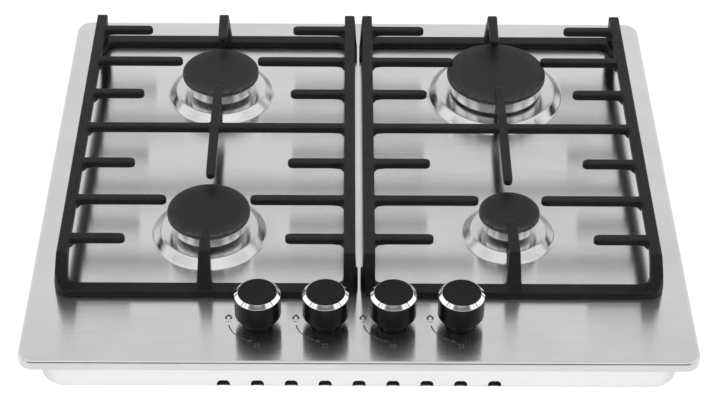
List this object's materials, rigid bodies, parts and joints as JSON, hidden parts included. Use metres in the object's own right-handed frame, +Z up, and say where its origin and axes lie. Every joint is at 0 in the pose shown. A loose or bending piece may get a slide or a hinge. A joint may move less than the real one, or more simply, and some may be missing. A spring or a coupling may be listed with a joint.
{
  "type": "gas cooktop",
  "caption": "Built-in gas hob: brushed steel plate, pan supports of cast iron, round burners and push-and-turn knobs over a light base pan.",
  "frame": {"origin": "under the middle of the hob, on the surface that its base pan stands on", "axes": "+X to the right seen from the knobs, +Y to the back, +Z up"},
  "size_m": [0.58, 0.508, 0.0845],
  "materials": {
    "plate": "brushed, horizontal grain",
    "pan": "light grey, low sheen",
    "seal": "matt foam",
    "clamp": "zinc plated",
    "rail": "zinc plated tube",
    "pipe": "drawn tube",
    "brass": "machined",
    "spark_box": "moulded",
    "burner_casting": "die cast",
    "crown": "polished",
    "cap": "matt black enamel",
    "pan_support": "matt black enamel",
    "ceramic": "glazed ceramic",
    "sensor": "copper and steel",
    "valve": "die cast",
    "spindle": "ground steel",
    "knob": "fine matt black",
    "knob_ring": "mirror bright"
  },
  "bodies": {
    "hob": {"hob_top": "plate", "base_pan": "pan", "edge_seal": "seal", "clamp_front_left": "clamp", "clamp_back_left": "clamp", "clamp_front_right": "clamp", "clamp_back_right": "clamp", "gas_rail": "rail", "gas_inlet": "brass", "spark_generator": "spark_box", "burner_base_front_left": "burner_casting", "jet_front_left": "brass", "electrode_front_left": "ceramic", "flame_sensor_front_left": "sensor", "gas_pipe_front_left": "pipe", "valve_front_left": "valve", "burner_base_back_left": "burner_casting", "jet_back_left": "brass", "electrode_back_left": "ceramic", "flame_sensor_back_left": "sensor", "gas_pipe_back_left": "pipe", "valve_back_left": "valve", "burner_base_back_right": "burner_casting", "jet_back_right": "brass", "electrode_back_right": "ceramic", "flame_sensor_back_right": "sensor", "gas_pipe_back_right": "pipe", "valve_back_right": "valve", "burner_base_front_right": "burner_casting", "jet_front_right": "brass", "electrode_front_right": "ceramic", "flame_sensor_front_right": "sensor", "gas_pipe_front_right": "pipe", "valve_front_right": "valve"},
    "plug_front_left": {"valve_plug_front_left": "brass"},
    "knob_front_left": {"knob_front_left": "knob", "knob_ring_front_left": "knob_ring", "spindle_front_left": "spindle"},
    "crown_front_left": {"burner_crown_front_left": "crown"},
    "cap_front_left": {"burner_cap_front_left": "cap"},
    "plug_back_left": {"valve_plug_back_left": "brass"},
    "knob_back_left": {"knob_back_left": "knob", "knob_ring_back_left": "knob_ring", "spindle_back_left": "spindle"},
    "crown_back_left": {"burner_crown_back_left": "crown"},
    "cap_back_left": {"burner_cap_back_left": "cap"},
    "plug_back_right": {"valve_plug_back_right": "brass"},
    "knob_back_right": {"knob_back_right": "knob", "knob_ring_back_right": "knob_ring", "spindle_back_right": "spindle"},
    "crown_back_right": {"burner_crown_back_right": "crown"},
    "cap_back_right": {"burner_cap_back_right": "cap"},
    "plug_front_right": {"valve_plug_front_right": "brass"},
    "knob_front_right": {"knob_front_right": "knob", "knob_ring_front_right": "knob_ring", "spindle_front_right": "spindle"},
    "crown_front_right": {"burner_crown_front_right": "crown"},
    "cap_front_right": {"burner_cap_front_right": "cap"},
    "grate_left": {"grate_left": "pan_support"},
    "grate_right": {"grate_right": "pan_support"}
  },
  "joints": [
    {"name": "knob_front_left_turn", "type": "hinge", "parent": "hob", "child": "plug_front_left", "pos_m": [-0.08715, -0.2045, 0.0205], "axis": [0, 0, 1], "range_deg": [0, 210]},
    {"name": "knob_front_left_push", "type": "slide", "parent": "plug_front_left", "child": "knob_front_left", "axis": [0, 0, -1], "range_m": [0, 0.003], "stiffness_N_per_m": 400, "springref_m": -0.006},
    {"name": "crown_front_left_lift", "type": "slide", "parent": "hob", "child": "crown_front_left", "axis": [0, 0, 1], "range_m": [0, 0.003]},
    {"name": "cap_front_left_lift", "type": "slide", "parent": "crown_front_left", "child": "cap_front_left", "axis": [0, 0, 1], "range_m": [0, 0.003]},
    {"name": "knob_back_left_turn", "type": "hinge", "parent": "hob", "child": "plug_back_left", "pos_m": [-0.02905, -0.2045, 0.0205], "axis": [0, 0, 1], "range_deg": [0, 210]},
    {"name": "knob_back_left_push", "type": "slide", "parent": "plug_back_left", "child": "knob_back_left", "axis": [0, 0, -1], "range_m": [0, 0.003], "stiffness_N_per_m": 400, "springref_m": -0.006},
    {"name": "crown_back_left_lift", "type": "slide", "parent": "hob", "child": "crown_back_left", "axis": [0, 0, 1], "range_m": [0, 0.003]},
    {"name": "cap_back_left_lift", "type": "slide", "parent": "crown_back_left", "child": "cap_back_left", "axis": [0, 0, 1], "range_m": [0, 0.003]},
    {"name": "knob_back_right_turn", "type": "hinge", "parent": "hob", "child": "plug_back_right", "pos_m": [0.02905, -0.2045, 0.0205], "axis": [0, 0, 1], "range_deg": [0, 210]},
    {"name": "knob_back_right_push", "type": "slide", "parent": "plug_back_right", "child": "knob_back_right", "axis": [0, 0, -1], "range_m": [0, 0.003], "stiffness_N_per_m": 400, "springref_m": -0.006},
    {"name": "crown_back_right_lift", "type": "slide", "parent": "hob", "child": "crown_back_right", "axis": [0, 0, 1], "range_m": [0, 0.003]},
    {"name": "cap_back_right_lift", "type": "slide", "parent": "crown_back_right", "child": "cap_back_right", "axis": [0, 0, 1], "range_m": [0, 0.003]},
    {"name": "knob_front_right_turn", "type": "hinge", "parent": "hob", "child": "plug_front_right", "pos_m": [0.08715, -0.2045, 0.0205], "axis": [0, 0, 1], "range_deg": [0, 210]},
    {"name": "knob_front_right_push", "type": "slide", "parent": "plug_front_right", "child": "knob_front_right", "axis": [0, 0, -1], "range_m": [0, 0.003], "stiffness_N_per_m": 400, "springref_m": -0.006},
    {"name": "crown_front_right_lift", "type": "slide", "parent": "hob", "child": "crown_front_right", "axis": [0, 0, 1], "range_m": [0, 0.003]},
    {"name": "cap_front_right_lift", "type": "slide", "parent": "crown_front_right", "child": "cap_front_right", "axis": [0, 0, 1], "range_m": [0, 0.003]},
    {"name": "grate_left_lift", "type": "slide", "parent": "hob", "child": "grate_left", "axis": [0, 0, 1], "range_m": [0, 0.06]},
    {"name": "grate_right_lift", "type": "slide", "parent": "hob", "child": "grate_right", "axis": [0, 0, 1], "range_m": [0, 0.06]}
  ]
}
